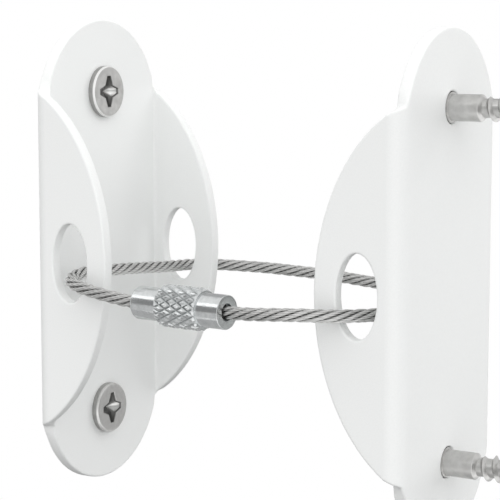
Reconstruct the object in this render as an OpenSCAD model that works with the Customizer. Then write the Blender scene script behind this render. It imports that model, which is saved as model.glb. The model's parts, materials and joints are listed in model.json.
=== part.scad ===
// Anti-tip furniture strap: two bent steel brackets joined by a loop of wire rope.
// The wall is the plane x = 0 behind the first bracket, the furniture faces it at x = span.
// +X points from the wall to the furniture, +Z is up, and the coupling hangs on the -Y side.

/* [Bracket] */
// Width across the outer faces of the two ears
ears_w = 33; // [32:0.5:37]
// Width of the round ends of the plate
plate_w = 30.5; // [29:0.5:33]
// Height of the plate between the tips of its round ends
plate_h = 76.5; // [72:0.5:90]
// Thickness of the sheet
sheet_t = 2; // [1.5:0.1:2.2]
// Inner radius of the bends
bend_r = 0.5; // [0.2:0.1:1]
// Height of each ear along its bend
ear_h = 55; // [50:0.5:58]
// Reach of the ears from the back of the plate
ear_reach = 14; // [12:0.5:16]
// Height over the back of the plate at which the arc of an ear ends, inside its bend
ear_end = 1.5; // [0.8:0.1:2]

/* [Rope holes] */
// Width of the oval hole in each ear
hole_w = 6.6; // [6.2:0.1:7.4]
// Height of the oval hole
hole_h = 12.5; // [11:0.1:16]
// Distance from the back of the plate to the middle of the hole
hole_out = 7.1; // [6.8:0.1:7.6]

/* [Placing] */
// Distance between the backs of the two brackets
span = 65; // [64.8:0.1:66]
// How far the furniture bracket sits below the wall bracket
drop = 1.4; // [0.6:0.1:2]

/* [Screws] */
// Distance between the two screws of a bracket
screw_spacing = 53; // [48:0.5:58]
// Diameter of the screw heads
head_d = 8.4; // [7:0.1:10]
// Height of the heads above the plate
head_h = 1.2; // [0.8:0.1:2]
// Width of the bevel round the face of a head
bevel_w = 0.2; // [0.1:0.05:0.5]
// Height of that bevel
bevel_h = 0.3; // [0.2:0.1:0.7]
// Diameter of the neck that fills the hole in the plate
neck_d = 4.6; // [4.4:0.1:5.4]
// Clearance between the neck and its hole, on each side
neck_gap = 0.1; // [0.05:0.05:0.3]
// Diameter of the smooth shank and of the thread behind it
shank_d = 4; // [3:0.1:4.2]
// Length of the smooth shank behind the plate
shank_len = 5; // [3:0.5:7]
// Length of the wall screws under their heads
wall_screw_len = 32; // [24:1:50]
// Length of the furniture screws under their heads
furniture_screw_len = 18; // [16:1:30]
// Rise of the screw thread in one turn
screw_pitch = 1.8; // [1.2:0.1:2.4]
// Height of the screw thread over its core
screw_thread = 0.6; // [0.3:0.05:0.8]
// Length of the pointed tip
tip_len = 4; // [2:0.5:6]
// Length of the cross recess from arm to arm
recess_len = 5; // [4:0.1:6]
// Width of each arm of the recess
recess_w = 1; // [0.6:0.1:1.4]
// Depth of the recess
recess_deep = 1.5; // [0.8:0.1:2]
// Turn of the recess in the upper screws, in degrees
upper_turn = 1; // [0:1:89]
// Turn of the recess in the lower screws, in degrees
lower_turn = 4; // [0:1:89]

/* [Rope] */
// Diameter of the wire rope
rope_d = 2; // [1.5:0.1:2.1]

/* [Coupling] */
// Diameter of the smooth end of the ferrule
ferrule_d = 5; // [4.5:0.1:5.6]
// Length of the smooth end of the ferrule
ferrule_len = 4.8; // [4:0.1:5.6]
// Depth to which the rope is crimped into the ferrule
crimp_len = 3.5; // [2:0.1:5]
// Diameter of the threaded stud on the ferrule
stud_d = 4; // [3.6:0.1:4.2]
// Length of the threaded stud
stud_len = 6; // [4:0.1:7]
// Rise of the coupling thread in one turn
coupling_pitch = 0.7; // [0.5:0.05:0.8]
// Depth of the coupling thread
coupling_thread = 0.35; // [0.2:0.05:0.5]
// Clearance between the stud and the sleeve, on each side
thread_gap = 0.08; // [0.05:0.01:0.15]
// Diameter over the knurling of the sleeve
knurl_d = 6.4; // [6:0.1:7.5]
// Length of the knurled part of the sleeve
knurl_len = 7.6; // [6.6:0.1:9]
// Diameter of the smooth neck of the sleeve
sleeve_neck_d = 5.1; // [4.9:0.1:5.6]
// Length of the smooth neck
sleeve_neck_len = 4; // [3.6:0.1:5]
// Thickness of the end wall of the neck
end_wall = 1.5; // [1:0.1:2]
// Diameter of the rope's way through the end wall
end_hole_d = 2.6; // [2.4:0.1:3]
// Chamfer on the ends of the knurling
chamfer = 0.35; // [0.1:0.05:0.5]
// Chamfer on the ends of the ferrule and of the neck
neck_chamfer = 0.15; // [0.05:0.05:0.4]
// Diameter of the stop swaged on the rope inside the sleeve
stop_d = 3.6; // [3.2:0.1:3.9]
// Length of that stop
stop_len = 3; // [2:0.1:3.5]
// Clearance between faces that come to rest on each other
seat_gap = 0.05; // [0.02:0.01:0.1]

/* [Hidden] */
$fn = 64;

powder_white = [0.91, 0.92, 0.91];
screw_grey = [0.68, 0.67, 0.65];
rope_grey = [0.55, 0.55, 0.54];
nickel = [0.78, 0.79, 0.80];

// Room that a cut needs past the faces it opens
cut = 1;

// Bracket: outer bend radius, start of the bends on the plate, arc of the ears
bend_outer = sheet_t + bend_r;
bend_start = ears_w / 2 - bend_outer;
ear_rise = ear_reach - ear_end;
ear_arc_r = (pow(ear_h / 2, 2) + pow(ear_rise, 2)) / (2 * ear_rise);
// Degrees between the points of the oval holes
oval_step = 7.5;

// Screws: where a thread's flank and its crest lie in each turn, as shares of the pitch
flank_at = 0.5;
crest_at = 0.75;
// How far the cone of the recess stands out of the face of the head
face_skim = 0.05;

// Coupling: it starts at the mouth of the ferrule and runs along its axis, slightly turned
mouth = [23.4, -20.5, -4.3];
coupling_turn = -5;
axis = [cos(coupling_turn), sin(coupling_turn), 0];
function on_axis(s) = mouth + s * axis;
sleeve_start = ferrule_len + seat_gap;
knurl_end = sleeve_start + knurl_len;
sleeve_end = knurl_end + sleeve_neck_len;
end_wall_start = sleeve_end - end_wall;
stop_end = end_wall_start - seat_gap;
stop_start = stop_end - stop_len;
// Crimped and swaged fits on the rope
crimp_gap = 0.02;
stop_gap = 0.1;
// Straight rope outside each mouth of the coupling, and the end of the rope inside the stop
ferrule_lead = 2.5;
sleeve_lead = 1.2;
rope_inset = 0.5;

// Route of the rope from the ferrule, round the wall bracket, the far run, the furniture bracket
// and the near run, back into the sleeve
route = concat(
    [on_axis(crimp_len), on_axis(0), on_axis(-ferrule_lead)],
    [[18, -20.1, -4], [15, -20, -3.6], [11.8, -19.6, -3.1], [10.3, -19.2, -2.8],
     [9, -18.4, -2.5], [8.1, -17.1, -2.2], [7.8, -15.5, -1.9], [7.8, -12.5, -1.7],
     [7.9, -7, -2], [7.9, 0, -2.5], [7.8, 7, -3.1], [7.7, 12.5, -3.5],
     [7.9, 16.2, -3.7], [9.1, 18.9, -3.9], [11.4, 20.8, -4], [15, 22, -4.1], [20, 22.8, -4.2],
     [25, 23.2, -4.4], [30, 23.4, -4.6], [35, 23.3, -4.9], [40, 22.8, -5.2], [45, 22, -5.3],
     [49, 20.9, -5.3], [52.5, 19.4, -5.2], [55.4, 17.6, -5], [57.8, 15.2, -4.8],
     [59.7, 12, -4.7], [60.9, 8.2, -4.6], [61.5, 4.2, -4.5], [61.7, 0, -4.5],
     [61.5, -4.2, -4.4], [60.9, -8.2, -4.4], [59.7, -12, -4.3], [57.8, -15.2, -4.2],
     [55.4, -18.1, -4.1], [52.3, -20.5, -3.9], [49, -21.9, -3.9], [46, -22.3, -4.05], [43.5, -22.3, -4.2]],
    [on_axis(sleeve_end + sleeve_lead), on_axis(sleeve_end), on_axis(stop_start + rope_inset)]);
rope_sides = 8;
rope_steps = 2;

// A smooth line through the points of a route
function spline_point(a, b, c, d, s) =
    0.5 * (2 * b + (c - a) * s + (2 * a - 5 * b + 4 * c - d) * s * s
           + (3 * b - a - 3 * c + d) * s * s * s);
function smooth_line(points, steps) =
    let (last = len(points) - 1,
         ext = concat([2 * points[0] - points[1]], points, [2 * points[last] - points[last - 1]]))
    concat([for (i = [0:last - 1], k = [0:steps - 1])
                spline_point(ext[i], ext[i + 1], ext[i + 2], ext[i + 3], k / steps)],
           [points[last]]);

function unit(v) = v / norm(v);
function heading(path, i) = unit(path[min(i + 1, len(path) - 1)] - path[max(i - 1, 0)]);

// A closed tube along a path that never runs straight up
module tube(path, r, sides) {
    rings = len(path);
    points = [for (i = [0:rings - 1])
                  let (along = heading(path, i),
                       side = unit(cross(along, [0, 0, 1])),
                       up = cross(side, along))
                  for (k = [0:sides - 1])
                      path[i] + r * (cos(360 * k / sides) * side + sin(360 * k / sides) * up)];
    wall = [for (i = [0:rings - 2], k = [0:sides - 1])
                let (a = i * sides + k,
                     b = i * sides + (k + 1) % sides)
                each [[a, b, b + sides], [a, b + sides, a + sides]]];
    first_cap = [for (k = [1:sides - 2]) [0, k + 1, k]];
    end = (rings - 1) * sides;
    last_cap = [for (k = [1:sides - 2]) [end, end + k, end + k + 1]];
    polyhedron(points, concat(wall, first_cap, last_cap));
}

// Flat sheet with round ends, narrowed to the start of the bends
module plate_outline() {
    straight_h = plate_h - plate_w;
    intersection() {
        union() {
            square([plate_w, straight_h], center = true);
            for (end = [-1, 1])
                translate([0, end * straight_h / 2]) circle(d = plate_w);
        }
        square([2 * bend_start, plate_h + cut], center = true);
    }
}

// Cross-section of the plate and both ears, with round bends
module bend_side(back, half_w, r) {
    translate([back + r, -half_w]) square([ear_reach + cut, 2 * half_w]);
    translate([back, r - half_w]) square([ear_reach + cut, 2 * (half_w - r)]);
    for (side = [-1, 1])
        translate([back + r, side * (half_w - r)]) circle(r = r);
}

module channel_outline() {
    difference() {
        bend_side(0, ears_w / 2, bend_outer);
        bend_side(sheet_t, ears_w / 2 - sheet_t, bend_r);
    }
}

module oval(w, h) {
    polygon([for (a = [0:oval_step:360 - oval_step]) [w / 2 * cos(a), h / 2 * sin(a)]]);
}

// One bracket, its back on the plane x = 0
module bracket() {
    difference() {
        union() {
            rotate([90, 0, 90]) linear_extrude(sheet_t) plate_outline();
            intersection() {
                linear_extrude(ear_h, center = true) channel_outline();
                translate([ear_reach - ear_arc_r, 0, 0]) rotate([90, 0, 0])
                    cylinder(r = ear_arc_r, h = ears_w + 2 * cut, center = true, $fn = 128);
            }
        }
        translate([hole_out, 0, 0]) rotate([90, 0, 0])
            linear_extrude(ears_w + 2 * cut, center = true) oval(hole_w, hole_h);
        for (end = [-1, 1])
            translate([-cut, 0, end * screw_spacing / 2]) rotate([0, 90, 0])
                cylinder(d = neck_d + 2 * neck_gap, h = sheet_t + 2 * cut);
    }
}

// Half outline of a screw, its axis on y and the back of the plate at y = 0
module screw_outline(under_head) {
    core_r = shank_d / 2 - screw_thread;
    point_y = sheet_t - under_head;
    thread_len = under_head - sheet_t - shank_len - tip_len;
    turns = floor(thread_len / screw_pitch);
    face_y = sheet_t + head_h;
    polygon(concat(
        [[0, point_y], [0, face_y], [head_d / 2 - bevel_w, face_y], [head_d / 2, face_y - bevel_h],
         [head_d / 2, sheet_t], [neck_d / 2, sheet_t], [neck_d / 2, 0],
         [shank_d / 2, 0], [shank_d / 2, -shank_len]],
        [for (i = [0:turns - 1])
            let (top = -shank_len - i * screw_pitch)
            each [[core_r, top], [core_r, top - flank_at * screw_pitch],
                  [shank_d / 2, top - crest_at * screw_pitch]]],
        [[core_r, -shank_len - turns * screw_pitch], [core_r, point_y + tip_len]]));
}

// Recess with four arms that narrow towards the bottom
module cross_recess(turn) {
    intersection() {
        rotate([0, 0, turn])
            for (arm = [0, 90])
                rotate([0, 0, arm]) translate([-recess_len / 2, -recess_w / 2, 0])
                    cube([recess_len, recess_w, recess_deep + cut]);
        cylinder(d1 = recess_w, d2 = recess_len, h = recess_deep);
    }
}

// One screw along z, its head up and the back of the plate at z = 0
module screw(under_head, turn) {
    difference() {
        rotate_extrude() screw_outline(under_head);
        translate([0, 0, sheet_t + head_h - recess_deep + face_skim]) cross_recess(turn);
    }
}

// Places its children at the back of a bracket: z becomes the way out of the wall or furniture
module at_wall(z) {
    translate([0, 0, z]) rotate([0, 90, 0]) children();
}

module at_furniture(z) {
    translate([span, 0, z - drop]) rotate([0, -90, 0]) children();
}

// Places its children on the axis of the coupling, z running from the ferrule's mouth to the sleeve's
module on_coupling() {
    translate(mouth) rotate([0, 90, coupling_turn]) children();
}

module wall_bracket() {
    color(powder_white) bracket();
}

module furniture_bracket() {
    color(powder_white) translate([span, 0, -drop]) mirror([1, 0, 0]) bracket();
}

module wall_screw_upper() {
    color(screw_grey) at_wall(screw_spacing / 2) screw(wall_screw_len, upper_turn);
}

module wall_screw_lower() {
    color(screw_grey) at_wall(-screw_spacing / 2) screw(wall_screw_len, lower_turn);
}

module furniture_screw_upper() {
    color(screw_grey) at_furniture(screw_spacing / 2) screw(furniture_screw_len, upper_turn);
}

module furniture_screw_lower() {
    color(screw_grey) at_furniture(-screw_spacing / 2) screw(furniture_screw_len, lower_turn);
}

module wire_rope() {
    color(rope_grey) tube(smooth_line(route, rope_steps), rope_d / 2, rope_sides);
}

// Crimped end of the rope, with a threaded stud for the sleeve
module threaded_ferrule() {
    stud_end = ferrule_len + stud_len;
    turns = floor(stud_len / coupling_pitch) - 1;
    color(nickel) on_coupling() difference() {
        rotate_extrude() polygon(concat(
            [[0, 0], [ferrule_d / 2 - neck_chamfer, 0], [ferrule_d / 2, neck_chamfer],
             [ferrule_d / 2, ferrule_len]],
            [for (i = [0:turns - 1])
                let (start = ferrule_len + i * coupling_pitch)
                each [[stud_d / 2 - coupling_thread, start], [stud_d / 2, start + coupling_pitch / 2]]],
            [[stud_d / 2 - coupling_thread, ferrule_len + turns * coupling_pitch],
             [stud_d / 2 - coupling_thread, stud_end], [0, stud_end]]));
        translate([0, 0, -cut]) cylinder(d = rope_d + 2 * crimp_gap, h = crimp_len + crimp_gap + cut);
    }
}

// Barrel that turns on the rope and screws over the stud
module knurled_sleeve() {
    bore_d = stud_d + 2 * thread_gap;
    color(nickel) on_coupling() difference() {
        rotate_extrude() polygon([
            [0, sleeve_start], [knurl_d / 2 - chamfer, sleeve_start],
            [knurl_d / 2, sleeve_start + chamfer], [knurl_d / 2, knurl_end - chamfer],
            [knurl_d / 2 - chamfer, knurl_end], [sleeve_neck_d / 2, knurl_end],
            [sleeve_neck_d / 2, sleeve_end - neck_chamfer], [sleeve_neck_d / 2 - neck_chamfer, sleeve_end],
            [0, sleeve_end]]);
        translate([0, 0, sleeve_start - cut]) cylinder(d = bore_d, h = end_wall_start - sleeve_start + cut);
        translate([0, 0, end_wall_start - cut]) cylinder(d = end_hole_d, h = end_wall + 2 * cut);
    }
}

// Stop on the rope's end, held behind the end wall of the sleeve
module rope_end_stop() {
    color(nickel) on_coupling() translate([0, 0, stop_start]) difference() {
        cylinder(d = stop_d, h = stop_len);
        translate([0, 0, -cut]) cylinder(d = rope_d + 2 * stop_gap, h = stop_len + 2 * cut);
    }
}

wall_bracket();
furniture_bracket();
wall_screw_upper();
wall_screw_lower();
furniture_screw_upper();
furniture_screw_lower();
wire_rope();
threaded_ferrule();
knurled_sleeve();
rope_end_stop();
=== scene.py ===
import json
import math
import bmesh
import bpy
from mathutils import Matrix, Vector


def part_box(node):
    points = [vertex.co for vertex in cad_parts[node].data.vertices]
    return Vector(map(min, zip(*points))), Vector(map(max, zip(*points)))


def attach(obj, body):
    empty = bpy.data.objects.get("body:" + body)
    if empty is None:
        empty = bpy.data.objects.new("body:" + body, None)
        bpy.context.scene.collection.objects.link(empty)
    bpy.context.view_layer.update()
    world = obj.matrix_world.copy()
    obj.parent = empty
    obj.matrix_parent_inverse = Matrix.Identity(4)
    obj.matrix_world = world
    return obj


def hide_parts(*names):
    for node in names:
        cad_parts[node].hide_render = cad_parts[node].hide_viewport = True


# lengths in metres, angles in degrees
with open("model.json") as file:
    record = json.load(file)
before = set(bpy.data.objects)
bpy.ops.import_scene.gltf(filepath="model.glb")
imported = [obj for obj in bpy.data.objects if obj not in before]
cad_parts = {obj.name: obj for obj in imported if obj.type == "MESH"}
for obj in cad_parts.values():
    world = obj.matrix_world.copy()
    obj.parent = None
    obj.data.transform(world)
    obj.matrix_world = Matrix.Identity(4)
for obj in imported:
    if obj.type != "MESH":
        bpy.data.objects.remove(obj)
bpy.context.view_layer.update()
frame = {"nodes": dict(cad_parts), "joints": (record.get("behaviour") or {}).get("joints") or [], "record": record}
joints = {joint["name"]: joint for joint in frame["joints"]}
scene = bpy.context.scene
scene.view_settings.view_transform = "Standard"
tau = 2 * math.pi
print("frame loaded:", len(frame["nodes"]), "nodes")


# node trees

def addNode(tree, kind, links=None, **settings):
    node = tree.nodes.new(kind)
    for key, value in settings.items():
        setattr(node, key, value)
    for socket, source in (links or {}).items():
        if isinstance(source, bpy.types.NodeSocket):
            tree.links.new(source, node.inputs[socket])
        else:
            node.inputs[socket].default_value = source
    return node


def calc(tree, operation, *terms):
    return addNode(tree, "ShaderNodeMath", dict(enumerate(terms)), operation=operation).outputs[0]


def vectorCalc(tree, operation, *terms):
    return addNode(tree, "ShaderNodeVectorMath", dict(enumerate(terms)), operation=operation).outputs[0]


def scaled(tree, vector, factor):
    return addNode(tree, "ShaderNodeVectorMath", {0: vector, "Scale": factor}, operation="SCALE").outputs[0]


def newTree(name, inputs):
    tree = bpy.data.node_groups.new(name, "GeometryNodeTree")
    tree.interface.new_socket("Geometry", in_out="INPUT", socket_type="NodeSocketGeometry")
    for label, kind in inputs.items():
        tree.interface.new_socket(label, in_out="INPUT", socket_type="NodeSocket" + kind)
    tree.interface.new_socket("Geometry", in_out="OUTPUT", socket_type="NodeSocketGeometry")
    return tree, tree.nodes.new("NodeGroupInput").outputs, tree.nodes.new("NodeGroupOutput").inputs


def closeTree(tree, geometry, material, target):
    whole = addNode(tree, "GeometryNodeRealizeInstances", {0: geometry}).outputs[0]
    dressed = addNode(tree, "GeometryNodeSetMaterial", {"Geometry": whole, "Material": material})
    tree.links.new(dressed.outputs[0], target)


def plainMesh(host):
    depsgraph = bpy.context.evaluated_depsgraph_get()
    return bpy.data.meshes.new_from_object(host.evaluated_get(depsgraph))


def addObject(name, mesh):
    mesh.name = name
    obj = bpy.data.objects.new(name, mesh)
    scene.collection.objects.link(obj)
    return obj


# runs a tree on a host and keeps the result as a plain object
def grow(name, host, tree, values):
    modifier = host.modifiers.new("nodes", "NODES")
    modifier.node_group = tree
    sockets = {item.name: item.identifier for item in tree.interface.items_tree if item.in_out == "INPUT"}
    for label, value in values.items():
        modifier[sockets[label]] = value
    mesh = plainMesh(host)
    bpy.data.objects.remove(host)
    return addObject(name, mesh)


# camera: fitted to the outlines in the photograph, without lens shift
photoView = {"place": (0.16994, -0.22898, 0.03463), "azimuth": 31.38, "tiltDown": 6.95, "lens": 123.0}


def addCamera(view):
    data = bpy.data.cameras.new("photoCamera")
    data.lens = view["lens"]
    camera = bpy.data.objects.new("photoCamera", data)
    camera.location = view["place"]
    camera.rotation_euler = (math.radians(90 - view["tiltDown"]), 0, math.radians(view["azimuth"]))
    scene.collection.objects.link(camera)
    scene.camera = camera


addCamera(photoView)
print("camera set")


# materials
uvUnit = 0.001  # the second value of turnUv counts millimetres along a turned profile


def newMaterial(name, colour, metallic, roughness):
    material = bpy.data.materials.new(name)
    material.use_nodes = True
    material.diffuse_color = (*colour, 1)
    tree = material.node_tree
    shader = tree.nodes["Principled BSDF"]
    shader.inputs["Base Color"].default_value = (*colour, 1)
    shader.inputs["Metallic"].default_value = metallic
    shader.inputs["Roughness"].default_value = roughness
    return material, tree, shader


def midway(low, high):
    return (low + high) / 2


def attribute(tree, name):
    return addNode(tree, "ShaderNodeAttribute", attribute_name=name).outputs["Fac"]


def noise(tree, where, scale, detail=2.0, kind="3D"):
    links = {"Scale": scale, "Detail": detail}
    links["W" if kind == "1D" else "Vector"] = where
    return addNode(tree, "ShaderNodeTexNoise", links, noise_dimensions=kind).outputs[0]


def stretch(tree, value, low, high, fromLow=0.3, fromHigh=0.7):
    links = {"Value": value, "From Min": fromLow, "From Max": fromHigh, "To Min": low, "To Max": high}
    return addNode(tree, "ShaderNodeMapRange", links).outputs[0]


def blendColour(tree, factor, first, second):
    node = addNode(tree, "ShaderNodeMix", data_type="RGBA")
    tree.links.new(factor, node.inputs[0])
    for slot, colour in ((6, first), (7, second)):
        if isinstance(colour, bpy.types.NodeSocket):
            tree.links.new(colour, node.inputs[slot])
        else:
            node.inputs[slot].default_value = (*colour, 1)
    return node.outputs[2]


def addBump(tree, shader, height, strength, distance):
    bump = addNode(tree, "ShaderNodeBump", {"Height": height, "Strength": strength, "Distance": distance})
    tree.links.new(bump.outputs[0], shader.inputs["Normal"])


coat = {
    "colour": (0.905, 0.915, 0.908), "thinColour": (0.88, 0.89, 0.884), "roughness": (0.40, 0.52),
    "peelSize": 0.0011, "speckSize": 0.00022, "speckHeight": 0.3, "bump": 0.5, "bumpHeight": 0.000012,
}


def powderCoat():
    material, tree, shader = newMaterial("powderCoat", coat["colour"], 0, midway(*coat["roughness"]))
    where = addNode(tree, "ShaderNodeTexCoord").outputs["Object"]
    peel = noise(tree, where, 1 / coat["peelSize"])
    speck = noise(tree, where, 1 / coat["speckSize"], detail=1.0)
    colour = blendColour(tree, stretch(tree, speck, 0, 1), coat["colour"], coat["thinColour"])
    tree.links.new(colour, shader.inputs["Base Color"])
    tree.links.new(stretch(tree, peel, *coat["roughness"]), shader.inputs["Roughness"])
    height = calc(tree, "MULTIPLY_ADD", speck, coat["speckHeight"], peel)
    addBump(tree, shader, height, coat["bump"], coat["bumpHeight"])
    return material


# plated metal: duller patches, and the fine rings that turning leaves
def turnedMetal(name, metal):
    material, tree, shader = newMaterial(name, metal["colour"], 1, midway(*metal["roughness"]))
    turned = addNode(tree, "ShaderNodeUVMap", uv_map="turnUv").outputs[0]
    along = addNode(tree, "ShaderNodeSeparateXYZ", {0: turned}).outputs[1]
    rings = noise(tree, along, uvUnit / metal["ringSize"], detail=1.0, kind="1D")
    addBump(tree, shader, rings, metal["bump"], metal["bumpHeight"])
    where = addNode(tree, "ShaderNodeTexCoord").outputs["Object"]
    patches = noise(tree, where, 1 / metal["patchSize"], metal["patchDetail"])
    tree.links.new(stretch(tree, patches, *metal["roughness"]), shader.inputs["Roughness"])
    colour = blendColour(tree, stretch(tree, patches, 0, 1), metal["colour"], metal["dull"])
    return material, tree, shader, colour


# dark and bright are the colours of the painted shade and painted highlight on the screw heads
zinc = {
    "colour": (0.58, 0.577, 0.565), "dull": (0.47, 0.467, 0.458), "dark": (0.05, 0.05, 0.048),
    "bright": (0.96, 0.96, 0.95), "roughness": (0.28, 0.42), "patchSize": 0.0012, "patchDetail": 4.0,
    "ringSize": 0.00012, "bump": 0.12, "bumpHeight": 0.00002,
}


def zincPlate():
    material, tree, shader, colour = turnedMetal("zincPlate", zinc)
    # painted shade and painted highlight on the screw head: its shade darkens over 0, and under 0 it brightens as
    # far as the screw's glint goes
    shade = attribute(tree, "headShade")
    paintedShade = stretch(tree, shade, 0, 1, 0, 1)
    paintedHighlight = calc(tree, "MULTIPLY", stretch(tree, shade, 0, 1, 0, -1), attribute(tree, "headGlint"))
    colour = blendColour(tree, paintedShade, colour, zinc["dark"])
    colour = blendColour(tree, paintedHighlight, colour, zinc["bright"])
    tree.links.new(colour, shader.inputs["Base Color"])
    return material


nickel = {
    "colour": (0.665, 0.68, 0.683), "dull": (0.565, 0.582, 0.586), "groove": (0.43, 0.45, 0.45),
    "grooveStart": 0.25, "roughness": (0.14, 0.26), "patchSize": 0.0009, "patchDetail": 3.0,
    "ringSize": 0.00009, "bump": 0.08, "bumpHeight": 0.00001,
}


def nickelPlate():
    material, tree, shader, colour = turnedMetal("nickelPlate", nickel)
    # painted shade, darker the deeper in the knurl's grooves
    paintedGrooveShade = stretch(tree, attribute(tree, "grooveDepth"), 0, 1, nickel["grooveStart"], 1)
    colour = blendColour(tree, paintedGrooveShade, colour, nickel["groove"])
    tree.links.new(colour, shader.inputs["Base Color"])
    return material


wire = {
    "crest": (0.72, 0.72, 0.71), "groove": (0.09, 0.09, 0.087), "roughness": (0.28, 0.42),
    "patchSize": 0.0016, "patchDetail": 3.0, "patchShade": 0.8,
    "darkReach": 0.6, "fullReach": 0.92, "seamShade": 0.45, "fullCrest": 0.8,
}


def wireSteel():
    material, tree, shader = newMaterial("wireSteel", wire["crest"], 1, midway(*wire["roughness"]))
    where = addNode(tree, "ShaderNodeTexCoord").outputs["Object"]
    patches = noise(tree, where, 1 / wire["patchSize"], wire["patchDetail"])
    # painted light and shade: bright on the outside of the rope and the crests of the wires, painted shade between
    # the strands and on the core
    outer = stretch(tree, attribute(tree, "ropeReach"), 0, 1, wire["darkReach"], wire["fullReach"])
    crest = stretch(tree, attribute(tree, "wireCrest"), wire["seamShade"], 1, 0, wire["fullCrest"])
    shade = calc(tree, "MULTIPLY", outer, crest)
    shade = calc(tree, "MULTIPLY", shade, stretch(tree, patches, wire["patchShade"], 1))
    tree.links.new(blendColour(tree, shade, wire["groove"], wire["crest"]), shader.inputs["Base Color"])
    tree.links.new(stretch(tree, patches, *wire["roughness"]), shader.inputs["Roughness"])
    return material


coatWhite = powderCoat()
screwZinc = zincPlate()
couplingNickel = nickelPlate()
ropeSteel = wireSteel()
print("materials ready")


# coupling line: the sleeve's joint gives the mouth of the ferrule and the axis
ferrule = {
    "diameter": 0.005, "length": 0.0048, "crimpDepth": 0.0035, "bore": 0.00204, "ropeGap": 0.00002,
    "chamfer": 0.00015, "studDiameter": 0.004, "studLength": 0.006, "threadDepth": 0.00035,
    "threadGap": 0.0001, "threadWidth": 1.0, "edge": 0.00008, "columns": 48,
}
sleeve = {
    "start": 0.00485, "knurlDiameter": 0.0064, "knurlLength": 0.0076, "chamfer": 0.00035,
    "neckDiameter": 0.0051, "neckLength": 0.004, "neckStep": 0.0001, "neckChamfer": 0.00006,
    "bore": 0.00416, "mouthLip": 0.0002, "endWall": 0.0015, "endHole": 0.0026, "edge": 0.00008,
    "diamondsRound": 16, "diamondsAlong": 3.5, "diamondSteps": 8, "grooveDepth": 0.0003, "flatTop": 0.72,
}
endStop = {
    "diameter": 0.0036, "length": 0.003, "bore": 0.0022, "gapToWall": 0.00005, "edge": 0.0002,
    "seam": 0.0001, "columns": 40,
}
threadPitch = tau / next(pair["ratio"] for pair in frame["record"]["behaviour"]["couplings"])
ferruleMouth = Vector(joints["sleeve_turn"]["pos_m"])
couplingAxis = Vector(joints["sleeve_turn"]["axis"]).normalized()
couplingTurn = couplingAxis.to_track_quat("Z", "Y").to_matrix().to_4x4()
couplingPlace = Matrix.Translation(ferruleMouth) @ couplingTurn
sleeveEnd = sleeve["start"] + sleeve["knurlLength"] + sleeve["neckLength"]
stopStart = sleeveEnd - sleeve["endWall"] - endStop["gapToWall"] - endStop["length"]


def onAxis(distance):
    return ferruleMouth + couplingAxis * distance


# rope: one loop from the ferrule round both brackets into the sleeve
rope = {
    "diameter": 0.002, "strands": 6, "wires": 6, "layLength": 0.0128, "wireLay": 0.007,
    "ringSpacing": 0.0003, "wirePoints": 4, "seamReach": 0.58, "coreSides": 8,
    "ferruleLead": 0.0025, "sleeveLead": 0.0012, "stopInset": 0.0005, "steps": 12,
    "route": [
        (0.0180, -0.0201, -0.0040), (0.0150, -0.0200, -0.0036), (0.0118, -0.0196, -0.0031),
        (0.0103, -0.0192, -0.0028), (0.0090, -0.0184, -0.0025), (0.0081, -0.0171, -0.0022),
        (0.0078, -0.0155, -0.0019), (0.0078, -0.0125, -0.0017), (0.0079, -0.0070, -0.0020),
        (0.0079, 0.0000, -0.0025), (0.0078, 0.0070, -0.0031), (0.0077, 0.0125, -0.0035),
        (0.0079, 0.0162, -0.0037), (0.0091, 0.0189, -0.0039), (0.0114, 0.0208, -0.0040),
        (0.0150, 0.0220, -0.0041), (0.0200, 0.0228, -0.0042), (0.0250, 0.0232, -0.0044),
        (0.0300, 0.0234, -0.0046), (0.0350, 0.0233, -0.0049), (0.0400, 0.0228, -0.0052),
        (0.0450, 0.0220, -0.0053), (0.0490, 0.0209, -0.0053), (0.0525, 0.0194, -0.0052),
        (0.0554, 0.0176, -0.0050), (0.0578, 0.0152, -0.0048), (0.0597, 0.0120, -0.0047),
        (0.0609, 0.0082, -0.0046), (0.0615, 0.0042, -0.0045), (0.0617, 0.0000, -0.0045),
        (0.0615, -0.0042, -0.0044), (0.0609, -0.0082, -0.0044), (0.0597, -0.0120, -0.0043),
        (0.0578, -0.0152, -0.0042), (0.0554, -0.0181, -0.0041), (0.0523, -0.0205, -0.0039),
        (0.0490, -0.0219, -0.0039), (0.0460, -0.0223, -0.00405), (0.0435, -0.0223, -0.0042),
    ],
}


def smoothLine(points, steps):
    # smooth curve through all the points, in this many steps from one to the next
    ends = [2 * points[0] - points[1], 2 * points[-1] - points[-2]]
    known = [ends[0], *points, ends[1]]
    line = []
    for i in range(len(points) - 1):
        a, b, c, d = known[i:i + 4]
        for k in range(steps):
            t = k / steps
            line.append(0.5 * (2 * b + (c - a) * t + (2 * a - 5 * b + 4 * c - d) * t * t
                               + (3 * b - a - 3 * c + d) * t ** 3))
    return line + [points[-1]]


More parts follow.
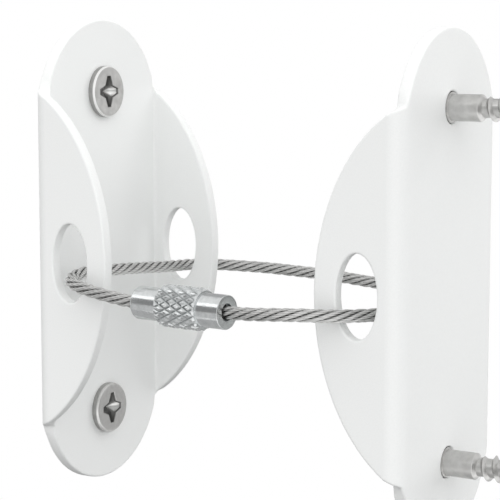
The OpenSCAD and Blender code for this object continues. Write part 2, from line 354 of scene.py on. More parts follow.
def ropeTree():
    tree, given, result = newTree("strandedRope", {
        "Strands": "Int", "Lay Length": "Float", "Strand Centre": "Float", "Strand Radius": "Float",
        "Wires": "Int", "Wire Lay": "Float", "Ring Spacing": "Float", "Material": "Material"})
    line = addNode(tree, "GeometryNodeMeshToCurve", {0: given["Geometry"]}).outputs[0]
    links = {"Curve": line, "Length": given["Ring Spacing"]}
    rings = addNode(tree, "GeometryNodeResampleCurve", links, mode="LENGTH").outputs[0]
    links = {"Geometry": rings, "Amount": given["Strands"]}
    copies = addNode(tree, "GeometryNodeDuplicateElements", links, domain="SPLINE").outputs

    # each strand winds round the line to the left
    along = addNode(tree, "GeometryNodeSplineParameter").outputs["Length"]
    tangent = addNode(tree, "GeometryNodeInputTangent").outputs[0]
    normal = addNode(tree, "GeometryNodeInputNormal").outputs[0]
    side = vectorCalc(tree, "CROSS_PRODUCT", tangent, normal)
    share = calc(tree, "DIVIDE", copies["Duplicate Index"], given["Strands"])
    turns = calc(tree, "SUBTRACT", share, calc(tree, "DIVIDE", along, given["Lay Length"]))
    angle = calc(tree, "MULTIPLY", turns, tau)
    out = vectorCalc(tree, "ADD", scaled(tree, normal, calc(tree, "COSINE", angle)),
                     scaled(tree, side, calc(tree, "SINE", angle)))
    offset = scaled(tree, out, given["Strand Centre"])
    links = {"Geometry": copies["Geometry"], "Offset": offset}
    laid = addNode(tree, "GeometryNodeSetPosition", links).outputs[0]
    tilt = calc(tree, "MULTIPLY", calc(tree, "DIVIDE", along, given["Wire Lay"]), tau)
    laid = addNode(tree, "GeometryNodeSetCurveTilt", {"Curve": laid, "Tilt": tilt}).outputs[0]

    # section of a strand: the outline of its wires, which lie round a middle wire of the same size
    count = calc(tree, "MULTIPLY", given["Wires"], rope["wirePoints"])
    links = {"Resolution": count, "Radius": 1.0}
    circle = addNode(tree, "GeometryNodeCurvePrimitiveCircle", links).outputs[0]
    index = addNode(tree, "GeometryNodeInputIndex").outputs[0]
    place = calc(tree, "MULTIPLY", calc(tree, "DIVIDE", index, count), tau)
    half = calc(tree, "DIVIDE", math.pi, given["Wires"])
    fromWire = calc(tree, "WRAP", place, half, calc(tree, "MULTIPLY", half, -1.0))
    wireRadius = calc(tree, "DIVIDE", given["Strand Radius"], 3.0)
    wireCentre = calc(tree, "MULTIPLY", wireRadius, 2.0)
    across = calc(tree, "MULTIPLY", wireCentre, calc(tree, "SINE", fromWire))
    inside = calc(tree, "SUBTRACT", calc(tree, "POWER", wireRadius, 2.0), calc(tree, "POWER", across, 2.0))
    bulge = calc(tree, "SQRT", calc(tree, "MAXIMUM", inside, 0.0))
    reach = calc(tree, "MULTIPLY_ADD", wireCentre, calc(tree, "COSINE", fromWire), bulge)
    position = addNode(tree, "GeometryNodeInputPosition").outputs[0]
    crest = calc(tree, "DIVIDE", reach, given["Strand Radius"])
    crest = stretch(tree, crest, 0.0, 1.0, rope["seamReach"], 1.0)
    links = {"Geometry": circle, "Name": "wireCrest", "Value": crest}
    marked = addNode(tree, "GeometryNodeStoreNamedAttribute", links).outputs[0]
    links = {"Geometry": marked, "Position": scaled(tree, position, reach)}
    section = addNode(tree, "GeometryNodeSetPosition", links).outputs[0]
    links = {"Curve": laid, "Profile Curve": section, "Fill Caps": True}
    strands = addNode(tree, "GeometryNodeCurveToMesh", links).outputs[0]

    # core strand, which closes the middle
    links = {"Resolution": rope["coreSides"], "Radius": given["Strand Radius"]}
    coreSection = addNode(tree, "GeometryNodeCurvePrimitiveCircle", links).outputs[0]
    links = {"Curve": rings, "Profile Curve": coreSection, "Fill Caps": True}
    core = addNode(tree, "GeometryNodeCurveToMesh", links).outputs[0]
    whole = addNode(tree, "GeometryNodeJoinGeometry")
    for part in (strands, core):
        tree.links.new(part, whole.inputs[0])

    # distance from the middle of the rope, as a share of its radius
    spine = addNode(tree, "GeometryNodeCurveToMesh", {"Curve": rings}).outputs[0]
    nearest = addNode(tree, "GeometryNodeProximity", {0: spine}, target_element="EDGES").outputs
    radius = calc(tree, "ADD", given["Strand Centre"], given["Strand Radius"])
    fromMiddle = calc(tree, "DIVIDE", nearest["Distance"], radius)
    links = {"Geometry": whole.outputs[0], "Name": "ropeReach", "Value": fromMiddle}
    marked = addNode(tree, "GeometryNodeStoreNamedAttribute", links).outputs[0]
    smooth = addNode(tree, "GeometryNodeSetShadeSmooth", {0: marked}).outputs[0]
    closeTree(tree, smooth, given["Material"], result[0])
    return tree


def makeRope(line):
    host = bpy.data.meshes.new("ropeLine")
    host.from_pydata(line, [(i, i + 1) for i in range(len(line) - 1)], [])
    strandRadius = rope["diameter"] / 6  # three strands of one size lie across the rope
    return grow("wireRope", addObject("ropeLine", host), ropeTree(), {
        "Strands": rope["strands"], "Lay Length": rope["layLength"], "Strand Centre": 2 * strandRadius,
        "Strand Radius": strandRadius, "Wires": rope["wires"], "Wire Lay": rope["wireLay"],
        "Ring Spacing": rope["ringSpacing"], "Material": ropeSteel})


ropeLine = smoothLine(
    [onAxis(ferrule["crimpDepth"]), onAxis(0), onAxis(-rope["ferruleLead"]),
     *(Vector(point) for point in rope["route"]),
     onAxis(sleeveEnd + rope["sleeveLead"]), onAxis(sleeveEnd), onAxis(stopStart + rope["stopInset"])],
    rope["steps"])
wireRope = makeRope(ropeLine)


# turned pieces: rows of (place along the axis, radius or one radius for each column)
sharpAngle = math.radians(32)


def roundCorners(points, edge, steps=3, mostOfLeg=0.45):
    rows = [points[0]]
    for before, corner, after in zip(points, points[1:], points[2:]):
        before, corner, after = Vector(before), Vector(corner), Vector(after)
        legs = [before - corner, after - corner]
        reach = min(edge, legs[0].length * mostOfLeg, legs[1].length * mostOfLeg)
        first, last = (corner + leg.normalized() * reach for leg in legs)
        for k in range(steps + 1):
            t = k / steps
            rows.append(tuple((1 - t) ** 2 * first + 2 * t * (1 - t) * corner + t * t * last))
    return rows + [points[-1]]


def turnedMesh(name, rows, columns, closed=False, leaning=None):
    # leaning gives 1 or -1 where a face splits along one diagonal or the other, and 0 where it stays whole
    bm = bmesh.new()
    uvLayer = bm.loops.layers.uv.new("turnUv")
    angles = [tau * j / columns for j in range(columns)]
    rings = []
    travelled = [0]
    middles = []
    for place, radius in rows:
        radii = radius if isinstance(radius, list) else [radius] * columns
        middles.append(Vector((place, sum(radii) / columns)))
        if len(middles) > 1:
            travelled.append(travelled[-1] + (middles[-1] - middles[-2]).length)
        if max(radii) == 0:
            rings.append([bm.verts.new((0, 0, place))])
            continue
        ring = [(r * math.cos(a), r * math.sin(a), place) for r, a in zip(radii, angles)]
        rings.append([bm.verts.new(corner) for corner in ring])
    if closed:
        rings.append(rings[0])
        travelled.append(travelled[-1] + (middles[0] - middles[-1]).length)

    def addFace(corners):
        face = bm.faces.new([rings[i][j % len(rings[i])] for i, j in corners])
        face.smooth = True
        for loop, (i, j) in zip(face.loops, corners):
            loop[uvLayer].uv = (j / columns, travelled[i] / uvUnit)

    for i in range(len(rings) - 1):
        for j in range(columns):
            corners = [(i, j), (i, j + 1), (i + 1, j + 1), (i + 1, j)]
            lean = leaning(i, j) if leaning else 0
            if len(rings[i]) == 1:
                addFace([corners[0], corners[2], corners[3]])
            elif len(rings[i + 1]) == 1:
                addFace([corners[0], corners[1], corners[2]])
            elif lean > 0:
                addFace([corners[0], corners[1], corners[2]])
                addFace([corners[0], corners[2], corners[3]])
            elif lean < 0:
                addFace([corners[0], corners[1], corners[3]])
                addFace([corners[1], corners[2], corners[3]])
            else:
                addFace(corners)
    bmesh.ops.recalc_face_normals(bm, faces=bm.faces)
    mesh = bpy.data.meshes.new(name)
    bm.to_mesh(mesh)
    bm.free()
    mesh.set_sharp_from_angle(angle=sharpAngle)
    return mesh


def onCoupling(name, mesh):
    mesh.transform(couplingPlace)
    mesh.materials.append(couplingNickel)
    return addObject(name, mesh)


def ridge(turn, width):
    # rises to 1 in the middle of each turn and falls to 0, over this share of the turn
    return max(0.0, 1 - abs(turn % 1 - 0.5) / (width / 2))


def helixRows(start, end, pitch, columns, core, height, width):
    rows = []
    steps = round((end - start) / pitch * columns)
    for i in range(steps + 1):
        place = start + (end - start) * i / steps
        turn = i / columns
        rows.append((place, [core(place) + height(place) * ridge(turn - j / columns, width)
                             for j in range(columns)]))
    return rows


def rampUp(value, low, high):
    return min(1.0, max(0.0, (value - low) / (high - low)))


# ferrule: smooth stub crimped on the rope, with the threaded stud that the sleeve screws over
def makeFerrule():
    columns = ferrule["columns"]
    bodyEnd = ferrule["length"]
    studEnd = bodyEnd + ferrule["studLength"]
    radius = ferrule["diameter"] / 2
    boreRadius = ferrule["bore"] / 2
    crest = ferrule["studDiameter"] / 2
    root = crest - ferrule["threadDepth"]
    chamfer = ferrule["chamfer"]
    bottom = ferrule["crimpDepth"] + ferrule["ropeGap"]
    threadEnd = studEnd - chamfer
    stub = roundCorners([(bottom, 0), (bottom, boreRadius), (0, boreRadius), (0, radius - chamfer),
                         (chamfer, radius), (bodyEnd, radius), (bodyEnd, root)], ferrule["edge"])

    def core(place):
        return root

    def height(place):
        runOut = rampUp(place, threadEnd - threadPitch / 2, threadEnd)
        return ferrule["threadDepth"] * rampUp(place, bodyEnd, bodyEnd + threadPitch) * (1 - runOut)

    thread = helixRows(bodyEnd + ferrule["threadGap"], threadEnd, threadPitch, columns, core, height,
                       ferrule["threadWidth"])
    tip = [(studEnd, root - chamfer), (studEnd, 0)]
    first, last = len(stub), len(stub) + len(thread) - 1
    mesh = turnedMesh("threadedFerrule", stub + thread + tip, columns,
                      leaning=lambda i, j: 1 if first <= i < last else 0)
    return onCoupling("threadedFerrule", mesh)


# sleeve: diamond knurling cut by two sets of grooves, then the smooth neck and its end wall
def makeSleeve():
    steps = sleeve["diamondSteps"]
    columns = sleeve["diamondsRound"] * steps
    count = round(sleeve["diamondsAlong"] * steps)
    start, chamfer, edge = sleeve["start"], sleeve["chamfer"], sleeve["edge"]
    knurlEnd = start + sleeve["knurlLength"]
    radius = sleeve["knurlDiameter"] / 2
    neck = sleeve["neckDiameter"] / 2
    bore = sleeve["bore"] / 2
    hole = sleeve["endHole"] / 2

    def tent(step):
        # 0 in a groove, 1 halfway to the next
        step = step % steps
        return min(step, steps - step) / (steps / 2)

    def reachAt(place):
        return radius - max(0, chamfer - min(place - start, knurlEnd - place))

    def knurlRow(i):
        place = start + sleeve["knurlLength"] * i / count
        limit = reachAt(place)
        tops = [min(1, min(tent(i + j), tent(i - j)) / sleeve["flatTop"]) for j in range(columns)]
        return place, [min(limit, radius - sleeve["grooveDepth"] * (1 - top)) for top in tops]

    mouth = [(start, bore), (start, bore + sleeve["mouthLip"])]
    knurl = [knurlRow(i) for i in range(count + 1)]
    bevel = sleeve["neckChamfer"]
    wallStart = sleeveEnd - sleeve["endWall"]
    neckRows = roundCorners([
        (knurlEnd, neck + sleeve["neckStep"]), (knurlEnd, neck), (sleeveEnd - bevel, neck),
        (sleeveEnd, neck - bevel), (sleeveEnd, hole), (wallStart, hole), (wallStart, bore)], edge)
    first, last = len(mouth), len(mouth) + count

    def leaning(i, j):
        # faces split along the grooves that cross them
        row = i - first
        if not first <= i < last:
            return 0
        if (row - j) % steps == 0:
            return 1
        return -1 if (row + j + 1) % steps == 0 else 0

    mesh = turnedMesh("knurledSleeve", mouth + knurl + neckRows, columns, closed=True, leaning=leaning)
    # share of the groove's depth, for the painted shade between the diamonds
    depths = mesh.attributes.new("grooveDepth", "FLOAT", "POINT").data
    for vert, depth in zip(mesh.vertices, depths):
        if start + edge < vert.co.z < knurlEnd - edge:
            fallen = reachAt(vert.co.z) - vert.co.xy.length
            depth.value = min(1, max(0, fallen / sleeve["grooveDepth"]))
    return onCoupling("knurledSleeve", mesh)


# stop: short tube swaged on the rope's end, behind the end wall of the sleeve
def makeStop():
    low, high = stopStart, stopStart + endStop["length"]
    outer, inner = endStop["diameter"] / 2, endStop["bore"] / 2
    middle = midway(inner, outer)
    rows = roundCorners([
        (low, middle), (low, outer), (high, outer), (high, inner), (low, inner),
        (low, middle - endStop["seam"])], endStop["edge"])
    return onCoupling("ropeEndStop", turnedMesh("ropeEndStop", rows, endStop["columns"], closed=True))


threadedFerrule = makeFerrule()
knurledSleeve = makeSleeve()
ropeEndStop = makeStop()
print("coupling made")


# brackets: a flat blank with rounded rims, folded at its two bends
bracket = {
    "earsWidth": 0.033, "plateWidth": 0.0305, "plateHeight": 0.0765, "sheet": 0.002, "bendRadius": 0.0005,
    "earReach": 0.014, "earBow": (0.0209, 0.0292), "holeWidth": 0.0066, "holeHeight": 0.0125,
    "holeOut": 0.0071, "screwSpacing": 0.053, "screwHole": 0.0048, "rim": 0.0003, "support": 0.0002,
    "bendSteps": 8, "rimSteps": 4, "arcSteps": 48, "holeSteps": 64, "screwHoleSteps": 40,
}
bracket["bendOuter"] = bracket["sheet"] + bracket["bendRadius"]
bracket["bendStart"] = bracket["earsWidth"] / 2 - bracket["bendOuter"]
bracket["bendLength"] = (bracket["bendOuter"] - bracket["sheet"] / 2) * math.pi / 2


def flatPlace(out):
    # place on the flat blank of a point of the ear that lies this far out from the back
    return bracket["bendStart"] + bracket["bendLength"] + out - bracket["bendOuter"]


def arcPoints(centre, radii, start, end, count):
    across, up = centre
    wide, high = radii
    angles = [start + (end - start) * k / count for k in range(count + 1)]
    return [Vector((across + wide * math.cos(a), up + high * math.sin(a))) for a in angles]


def blankOutline():
    bow = bracket["earBow"]
    earCentre = Vector((flatPlace(bracket["earReach"]) - bow[0], 0))
    endRadius = bracket["plateWidth"] / 2
    endCentre = Vector((0, bracket["plateHeight"] / 2 - endRadius))
    # an ear's oval arc runs on into its bend until it meets the round end of the plate
    low, high = 0, math.pi / 2
    halvings = 40
    for k in range(halvings):
        earAngle = midway(low, high)
        meeting = earCentre + Vector((bow[0] * math.cos(earAngle), bow[1] * math.sin(earAngle)))
        if (meeting - endCentre).length > endRadius:
            low = earAngle
        else:
            high = earAngle
    endAngle = math.atan2(*(meeting - endCentre).yx)
    ear = arcPoints(earCentre, bow, -earAngle, earAngle, bracket["arcSteps"])
    end = arcPoints(endCentre, (endRadius, endRadius), endAngle, math.pi - endAngle, bracket["arcSteps"])
    half = ear[:-1] + end[:-1]
    return half + [Vector((-point.x, -point.y)) for point in half]


def blankHoles():
    # the holes run the other way round than the outline, so one inset serves both
    ring = (0, -tau)
    ropeHole = (bracket["holeWidth"] / 2, bracket["holeHeight"] / 2)
    screwHole = (bracket["screwHole"] / 2, bracket["screwHole"] / 2)
    holes = []
    for side in (-1, 1):
        centre = (side * flatPlace(bracket["holeOut"]), 0)
        holes.append(arcPoints(centre, ropeHole, *ring, bracket["holeSteps"])[:-1])
        centre = (0, side * bracket["screwSpacing"] / 2)
        holes.append(arcPoints(centre, screwHole, *ring, bracket["screwHoleSteps"])[:-1])
    return holes


def insetOutline(points, inset):
    moved = []
    for i, point in enumerate(points):
        before, after = points[i - 1], points[(i + 1) % len(points)]
        first, second = (point - before).normalized(), (after - point).normalized()
        inward = [Vector((-edge.y, edge.x)) for edge in (first, second)]
        moved.append(point + (inward[0] + inward[1]) * (inset / (1 + inward[0].dot(inward[1]))))
    return moved


def rimRings():
    # pairs of (inset, height) up the rounded edge of the sheet
    rim, sheet = bracket["rim"], bracket["sheet"]
    quarter = [math.pi / 2 * k / bracket["rimSteps"] for k in range(bracket["rimSteps"] + 1)]
    low = [(rim * (1 - math.sin(a)), rim * (1 - math.cos(a))) for a in quarter]
    low = [(rim + bracket["support"], 0)] + low
    return low + [(inset, sheet - height) for inset, height in reversed(low)]


def fold(point):
    # from the flat blank (across, up, through the sheet) to the folded bracket
    across, up, depth = point
    past = abs(across) - bracket["bendStart"]
    side = 1 if across > 0 else -1
    if past <= 0:
        return Vector((depth, across, up))
    outer, length = bracket["bendOuter"], bracket["bendLength"]
    if past >= length:
        return Vector((outer + past - length, side * (bracket["earsWidth"] / 2 - depth), up))
    angle = past / length * math.pi / 2
    reach = outer - depth
    bent = bracket["bendStart"] + reach * math.sin(angle)
    return Vector((outer - reach * math.cos(angle), side * bent, up))


def bracketMesh(name, place):
    bm = bmesh.new()
    flatEdges = {0: [], -1: []}
    for outline in [blankOutline(), *blankHoles()]:
        rings = []
        for inset, height in rimRings():
            points = insetOutline(outline, inset)
            rings.append([bm.verts.new((point.x, point.y, height)) for point in points])
        for lower, upper in zip(rings, rings[1:]):
            for i in range(len(outline)):
                bm.faces.new((lower[i - 1], lower[i], upper[i], upper[i - 1]))
        for which in flatEdges:
            ring = rings[which]
            flatEdges[which] += [bm.edges.get((ring[i - 1], ring[i])) for i in range(len(ring))]
    for which, normal in ((0, (0, 0, -1)), (-1, (0, 0, 1))):
        bmesh.ops.triangle_fill(bm, edges=flatEdges[which], use_beauty=True, normal=normal)
    # cuts along the bends, with one more beside each to keep the flats flat
    start, length = bracket["bendStart"], bracket["bendLength"]
    cuts = [start + length * k / bracket["bendSteps"] for k in range(bracket["bendSteps"] + 1)]
    cuts += [start - bracket["support"], start + length + bracket["support"]]
    for cut in cuts:
        for side in (-1, 1):
            bmesh.ops.bisect_plane(bm, geom=bm.verts[:] + bm.edges[:] + bm.faces[:], dist=1e-8,
                                   plane_co=(side * cut, 0, 0), plane_no=(1, 0, 0))
    for vert in bm.verts:
        vert.co = place @ fold(vert.co)
    bmesh.ops.recalc_face_normals(bm, faces=bm.faces)
    if bm.calc_volume(signed=True) < 0:
        bmesh.ops.reverse_faces(bm, faces=bm.faces)
    for face in bm.faces:
        face.smooth = True
    mesh = bpy.data.meshes.new(name)
    bm.to_mesh(mesh)
    bm.free()
    mesh.materials.append(coatWhite)
    return mesh


furnitureLow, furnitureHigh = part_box("furniture_bracket")
span = furnitureHigh.x
drop = midway(furnitureLow.z, furnitureHigh.z)
facingBack = Matrix.Translation((span, 0, drop)) @ Matrix.Diagonal((-1, 1, 1, 1))
wallBracket = addObject("wallBracket", bracketMesh("wallBracket", Matrix.Identity(4)))
furnitureBracket = addObject("furnitureBracket", bracketMesh("furnitureBracket", facingBack))
print("brackets folded:", len(wallBracket.data.polygons), "faces each")


# screws: turned blank with a cross recess, two to a bracket
screw = {
    "headDiameter": 0.0084, "headHeight": 0.0012, "bevelWidth": 0.0002, "bevelHeight": 0.0003,
    "flatShare": 0.85, "neckDiameter": 0.0046, "shankDiameter": 0.004, "shankLength": 0.005,
    "shoulder": (-0.0001, 0.0003), "pitch": 0.0018, "threadHeight": 0.0006, "threadWidth": 0.5,
    "threadGap": 0.0002, "threadStart": 0.0004, "tipLength": 0.004, "tipShare": 0.08, "edge": 0.0001,
    "wallLength": 0.032, "furnitureLength": 0.018, "columns": 40,
    "recessLength": 0.005, "armTip": 0.0008, "armRoot": 0.002, "recessDepth": 0.0015, "recessBevel": 0.0001,
    # each screw's glint scales its painted highlight; the rim shade paints a highlight on the bevel and the side
    # shade paints shade on the side
    "upperTurn": 1, "lowerTurn": -1, "upperGlint": 1.0, "lowerGlint": 0.3, "farArm": 1,
    "rimShade": -0.8, "sideShade": 0.25, "lipShades": (0.7, 0.9, 0.6), "bottomShade": 0.75,
}
# recess under its lip: shares of arm, root and tip, share of the depth, and the shades of the arm
# at the far side, of the other arms and of the corners: painted shade over 0 and painted highlight under it
recessRings = [
    {"shares": (0.97, 0.94, 0.92), "depth": 0.2, "shades": (0.9, 1, 0.9)},
    {"shares": (0.9, 0.88, 0.85), "depth": 0.25, "shades": (-0.5, 1, 0.8)},
    {"shares": (0.4, 0.6, 0.85), "depth": 0.45, "shades": (-1, 1, 0.75)},
]


def starCorners(shares, wider, height, shades):
    # corners of a star with four arms, each with its painted shade or painted highlight
    arm, root, tip = (screw[part] / 2 * share + wider
                      for part, share in zip(("recessLength", "armRoot", "armTip"), shares))
    farShade, armShade, cornerShade = shades
    corners = []
    for quarter in range(4):
        turn = Matrix.Rotation(quarter * math.pi / 2, 2)
        inArm = farShade if quarter == screw["farArm"] else armShade
        for place, shade in (((arm, -tip), inArm), ((arm, tip), inArm), ((root, root), cornerShade)):
            corners.append(((*(turn @ Vector(place)), height), shade))
    return corners


def cutRecess(mesh):
    # star that slopes down to a cone, its lip broken by a bevel
    face = bracket["sheet"] + screw["headHeight"]
    deep, bevel = screw["recessDepth"], screw["recessBevel"]
    bm = bmesh.new()
    bm.from_mesh(mesh)
    rim = [edge for edge in bm.edges if edge.is_boundary]
    shading = bm.verts.layers.float.new("headShade")
    # painted highlight on the bevel round the face, painted shade on the side under it
    bevelFoot = face - screw["bevelHeight"] - screw["edge"]
    for vert in bm.verts:
        if bevelFoot < vert.co.z < face - screw["edge"] / 4:
            vert[shading] = screw["rimShade"]
        elif bracket["sheet"] < vert.co.z <= bevelFoot:
            vert[shading] = screw["sideShade"]

    def addCorner(place, shade):
        vert = bm.verts.new(place)
        vert[shading] = shade
        return vert

    stars = [starCorners((1, 1, 1), bevel, face, (0, 0, 0)),
             starCorners((1, 1, 1), 0, face - bevel, screw["lipShades"])]
    for row in recessRings:
        stars.append(starCorners(row["shares"], 0, face - row["depth"] * deep, row["shades"]))
    rings = [[addCorner(*corner) for corner in star] for star in stars]
    bottom = addCorner((0, 0, face - deep), screw["bottomShade"])
    count = len(rings[0])
    for upper, lower in zip(rings, rings[1:]):
        for i in range(count):
            bm.faces.new((upper[i - 1], upper[i], lower[i], lower[i - 1]))
    for i in range(count):
        bm.faces.new((rings[-1][i - 1], rings[-1][i], bottom))
    rim += [bm.edges.get((rings[0][i - 1], rings[0][i])) for i in range(count)]
    bmesh.ops.triangle_fill(bm, edges=rim, use_beauty=True, normal=(0, 0, 1))
    bmesh.ops.recalc_face_normals(bm, faces=bm.faces)
    bm.to_mesh(mesh)
    bm.free()
    mesh.set_sharp_from_angle(angle=sharpAngle)


def screwTemplate(length):
    columns = screw["columns"]
    sheet = bracket["sheet"]
    point = sheet - length
    tipEnd = point + screw["tipLength"]
    face = sheet + screw["headHeight"]
    head, neck = screw["headDiameter"] / 2, screw["neckDiameter"] / 2
    shank = screw["shankDiameter"] / 2
    root = shank - screw["threadHeight"]
    shankEnd = -screw["shankLength"]
    shoulderLow, shoulderHigh = (shankEnd + part for part in screw["shoulder"])

    def core(place):
        return root * max(screw["tipShare"], rampUp(place, point, tipEnd))

    def height(place):
        runIn = rampUp(place, point + screw["threadStart"], tipEnd)
        return screw["threadHeight"] * runIn * (1 - rampUp(place, shankEnd - screw["pitch"], shankEnd))

    gap = screw["threadGap"]
    thread = helixRows(point + gap, shankEnd - gap, screw["pitch"], columns, core, height,
                       screw["threadWidth"])
    body = roundCorners([
        (shoulderLow, root), (shoulderHigh, shank), (0, shank), (0, neck), (sheet, neck), (sheet, head),
        (face - screw["bevelHeight"], head), (face, head - screw["bevelWidth"]),
        (face, head * screw["flatShare"])], screw["edge"])
    mesh = turnedMesh("screw", [(point, 0)] + thread + body, columns,
                      leaning=lambda i, j: 1 if 1 <= i < len(thread) else 0)
    cutRecess(mesh)
    return addObject("screw", mesh)


def screwTree():
    tree, given, result = newTree("screwPair", {
        "Screw": "Object", "Spacing": "Float", "Back": "Float", "Height": "Float", "Facing": "Float",
        "Upper Turn": "Float", "Lower Turn": "Float", "Upper Glint": "Float", "Lower Glint": "Float",
        "Material": "Material"})
    top = calc(tree, "MULTIPLY_ADD", given["Spacing"], 0.5, given["Height"])
    start = addNode(tree, "ShaderNodeCombineXYZ", {0: given["Back"], 2: top}).outputs[0]
    down = calc(tree, "MULTIPLY", given["Spacing"], -1.0)
    step = addNode(tree, "ShaderNodeCombineXYZ", {2: down}).outputs[0]
    links = {"Count": 2, "Start Location": start, "Offset": step}
    places = addNode(tree, "GeometryNodeMeshLine", links).outputs[0]
    template = addNode(tree, "GeometryNodeObjectInfo", {"Object": given["Screw"]}).outputs["Geometry"]
    facing = addNode(tree, "ShaderNodeCombineXYZ", {1: given["Facing"]}).outputs[0]
    links = {"Points": places, "Instance": template, "Rotation": facing}
    pair = addNode(tree, "GeometryNodeInstanceOnPoints", links).outputs[0]
    index = addNode(tree, "GeometryNodeInputIndex").outputs[0]

    def upperOrLower(label):
        upper, lower = given["Upper " + label], given["Lower " + label]
        return calc(tree, "MULTIPLY_ADD", index, calc(tree, "SUBTRACT", lower, upper), upper)

    turn = addNode(tree, "ShaderNodeCombineXYZ", {2: upperOrLower("Turn")}).outputs[0]
    links = {"Instances": pair, "Rotation": turn, "Local Space": True}
    pair = addNode(tree, "GeometryNodeRotateInstances", links).outputs[0]
    # each screw's glint, which scales the painted highlight on its head
    links = {"Geometry": pair, "Name": "headGlint", "Value": upperOrLower("Glint")}
    marked = addNode(tree, "GeometryNodeStoreNamedAttribute", links, domain="INSTANCE").outputs[0]
    closeTree(tree, marked, given["Material"], result[0])
    return tree


def makeScrews(name, tree, length, back, height, facing):
    template = screwTemplate(length)
    host = addObject("screwHost", bpy.data.meshes.new("screwHost"))
    screws = grow(name, host, tree, {
        "Screw": template, "Spacing": bracket["screwSpacing"], "Back": back, "Height": height,
        "Facing": math.radians(facing), "Upper Turn": math.radians(screw["upperTurn"]),
        "Lower Turn": math.radians(screw["lowerTurn"]), "Upper Glint": screw["upperGlint"],
        "Lower Glint": screw["lowerGlint"], "Material": screwZinc})
    bpy.data.objects.remove(template)
    return screws


pairTree = screwTree()
wallScrews = makeScrews("wallScrews", pairTree, screw["wallLength"], 0.0, 0.0, 90)
furnitureScrews = makeScrews("furnitureScrews", pairTree, screw["furnitureLength"], span, drop, -90)
print("screws made:", len(wallScrews.data.polygons), "and", len(furnitureScrews.data.polygons), "faces")


# stage: far floor, white wall, a dome of light, soft lamps and cards for the metal to mirror
stage = {
    "target": (0.03, 0, 0), "floorHeight": -0.3, "floorSize": 6.0, "floorColour": (0.8, 0.8, 0.8),
    "floorRoughness": 0.9, "floorGlow": 0.4, "wallPlace": -0.0004, "wallSize": 0.9,
    "domeFacing": (0.36, -0.54, 0.67), "domeEven": 0.555, "domeLean": 0.84,
}
lamps = {
    "leftLamp": {"place": (-0.394, -0.50, 0.475), "size": (0.8, 0.24), "watts": 0.46, "mirrored": True},
    "rightLamp": {"place": (0.74, -0.30, 0.30), "size": (0.6, 0.6), "watts": 0.3, "mirrored": True},
    "farLamp": {"place": (0.45, 0.55, 0.22), "size": (0.5, 0.5), "watts": 1.3, "mirrored": False},
    "backLamp": {"place": (-0.55, 0.45, 0.35), "size": (0.7, 0.7), "watts": 3.0, "mirrored": False},
}
mirrorCards = {
    "darkCard": {"place": (-0.34, -0.59, 0.15), "size": (0.6, 0.44), "glow": 0.30},
    "backCard": {"place": (0.50, 0.645, 0.11), "size": (1.0, 0.54), "glow": 0.95},
    "lowBackCard": {"place": (0.50, 0.645, -0.34), "size": (1.0, 0.36), "glow": 0.22},
    "wallSideCard": {"place": (-0.40, 0.40, 0.25), "size": (0.7, 0.8), "glow": 0.52},
    "lowCard": {"place": (-0.25, -0.35, -0.25), "size": (0.9, 0.5), "glow": 0.70},
    "underCard": {"place": (-0.06, 0.05, -0.17), "size": (0.48, 0.48), "glow": 0.54},
    "topCard": {"place": (-0.394, -0.20, 0.66), "size": (0.9, 0.42), "glow": 1.05},
    "sideCard": {"place": (0.80, 0.02, -0.06), "size": (0.9, 0.44), "glow": 0.3},
}
white = (1, 1, 1, 1)


def flatPanel(name, corners, material, hiddenFrom):
    mesh = bpy.data.meshes.new(name)
    mesh.from_pydata(corners, [], [range(len(corners))])
    mesh.materials.append(material)
    panel = addObject(name, mesh)
    for ray in hiddenFrom:
        setattr(panel, "visible_" + ray, False)


def emptyMaterial(name):
    material = bpy.data.materials.new(name)
    material.use_nodes = True
    material.node_tree.nodes.clear()
    return material, material.node_tree


def seenRays(tree):
    rays = addNode(tree, "ShaderNodeLightPath").outputs
    seen = calc(tree, "MAXIMUM", rays["Is Camera Ray"], rays["Is Glossy Ray"])
    return calc(tree, "MAXIMUM", seen, rays["Is Transmission Ray"])


def floorPaint():
    material, tree, shader = newMaterial("floorPaint", stage["floorColour"], 0, stage["floorRoughness"])
    glow = calc(tree, "MULTIPLY", seenRays(tree), stage["floorGlow"])
    shader.inputs["Emission Color"].default_value = white
    tree.links.new(glow, shader.inputs["Emission Strength"])
    return material


def wallPaint():
    # white from the front, clear from behind
    material, tree = emptyMaterial("wallPaint")
    plain = addNode(tree, "ShaderNodeEmission", {"Color": white, "Strength": 1.0}).outputs[0]
    clear = addNode(tree, "ShaderNodeBsdfTransparent").outputs[0]
    behind = addNode(tree, "ShaderNodeNewGeometry").outputs["Backfacing"]
    mixed = addNode(tree, "ShaderNodeMixShader", {0: behind, 1: plain, 2: clear}).outputs[0]
    addNode(tree, "ShaderNodeOutputMaterial", {"Surface": mixed})
    return material


def addStage():
    half, level = stage["floorSize"] / 2, stage["floorHeight"]
    corners = [(-half, -half, level), (half, -half, level), (half, half, level), (-half, half, level)]
    flatPanel("floor", corners, floorPaint(), ["diffuse"])
    half, back = stage["wallSize"] / 2, stage["wallPlace"]
    corners = [(back, -half, level), (back, half, level), (back, half, half), (back, -half, half)]
    flatPanel("wall", corners, wallPaint(), ["diffuse", "glossy", "transmission", "shadow"])


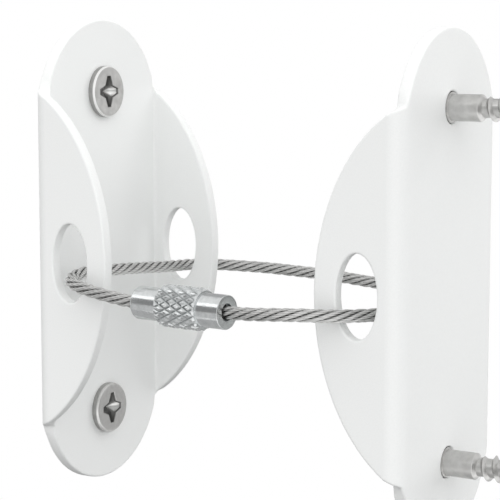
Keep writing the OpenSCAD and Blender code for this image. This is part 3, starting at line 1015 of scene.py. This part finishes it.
def addDome():
    world = bpy.data.worlds.new("dome")
    scene.world = world
    world.use_nodes = True
    tree = world.node_tree
    back = tree.nodes["Background"]
    way = addNode(tree, "ShaderNodeTexCoord").outputs["Generated"]
    facing = Vector(stage["domeFacing"]).normalized()
    links = {0: way, 1: facing}
    lean = addNode(tree, "ShaderNodeVectorMath", links, operation="DOT_PRODUCT").outputs["Value"]
    dome = calc(tree, "MULTIPLY_ADD", lean, stage["domeLean"], stage["domeEven"])
    dome = calc(tree, "MAXIMUM", dome, 0.0)
    # what the camera and the metal see of it is plain white
    strength = addNode(tree, "ShaderNodeMix", {0: seenRays(tree), 2: dome, 3: 1.0}).outputs[0]
    tree.links.new(strength, back.inputs["Strength"])
    back.inputs["Color"].default_value = white


def facingTarget(place):
    return (Vector(stage["target"]) - Vector(place)).to_track_quat("-Z", "Y")


def addLamp(name, lamp):
    data = bpy.data.lights.new(name, "AREA")
    data.shape = "RECTANGLE"
    data.size, data.size_y = lamp["size"]
    data.energy = lamp["watts"]
    obj = bpy.data.objects.new(name, data)
    obj.location = lamp["place"]
    obj.rotation_euler = facingTarget(lamp["place"]).to_euler()
    obj.visible_glossy = lamp["mirrored"]
    scene.collection.objects.link(obj)


def addMirrorCard(name, card):
    # only the metal's reflections see it
    material, tree = emptyMaterial(name)
    glow = addNode(tree, "ShaderNodeEmission", {"Color": white, "Strength": card["glow"]}).outputs[0]
    addNode(tree, "ShaderNodeOutputMaterial", {"Surface": glow})
    wide, high = card["size"][0] / 2, card["size"][1] / 2
    place = Matrix.Translation(card["place"]) @ facingTarget(card["place"]).to_matrix().to_4x4()
    corners = [(-wide, -high, 0), (wide, -high, 0), (wide, high, 0), (-wide, high, 0)]
    corners = [place @ Vector(corner) for corner in corners]
    flatPanel(name, corners, material, ["camera", "diffuse", "transmission", "shadow"])


addStage()
addDome()
for name, lamp in lamps.items():
    addLamp(name, lamp)
for name, card in mirrorCards.items():
    addMirrorCard(name, card)
print("stage lit")


# what each piece rides on, stands for and is made of
pieces = [
    (wallBracket, "wall_side", "powder_coat", ["wall_bracket"]),
    (wallScrews, "wall_side", "screw_steel", ["wall_screw_upper", "wall_screw_lower"]),
    (furnitureBracket, "furniture_side", "powder_coat", ["furniture_bracket"]),
    (furnitureScrews, "furniture_side", "screw_steel", ["furniture_screw_upper", "furniture_screw_lower"]),
    (wireRope, "rope_loop", "rope_steel", ["wire_rope"]),
    (threadedFerrule, "rope_loop", "coupling_nickel", ["threaded_ferrule"]),
    (knurledSleeve, "sleeve", "coupling_nickel", ["knurled_sleeve"]),
    (ropeEndStop, "rope_end", "coupling_nickel", ["rope_end_stop"]),
]
for piece, body, finish, nodes in pieces:
    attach(piece, body)
    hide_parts(*nodes)
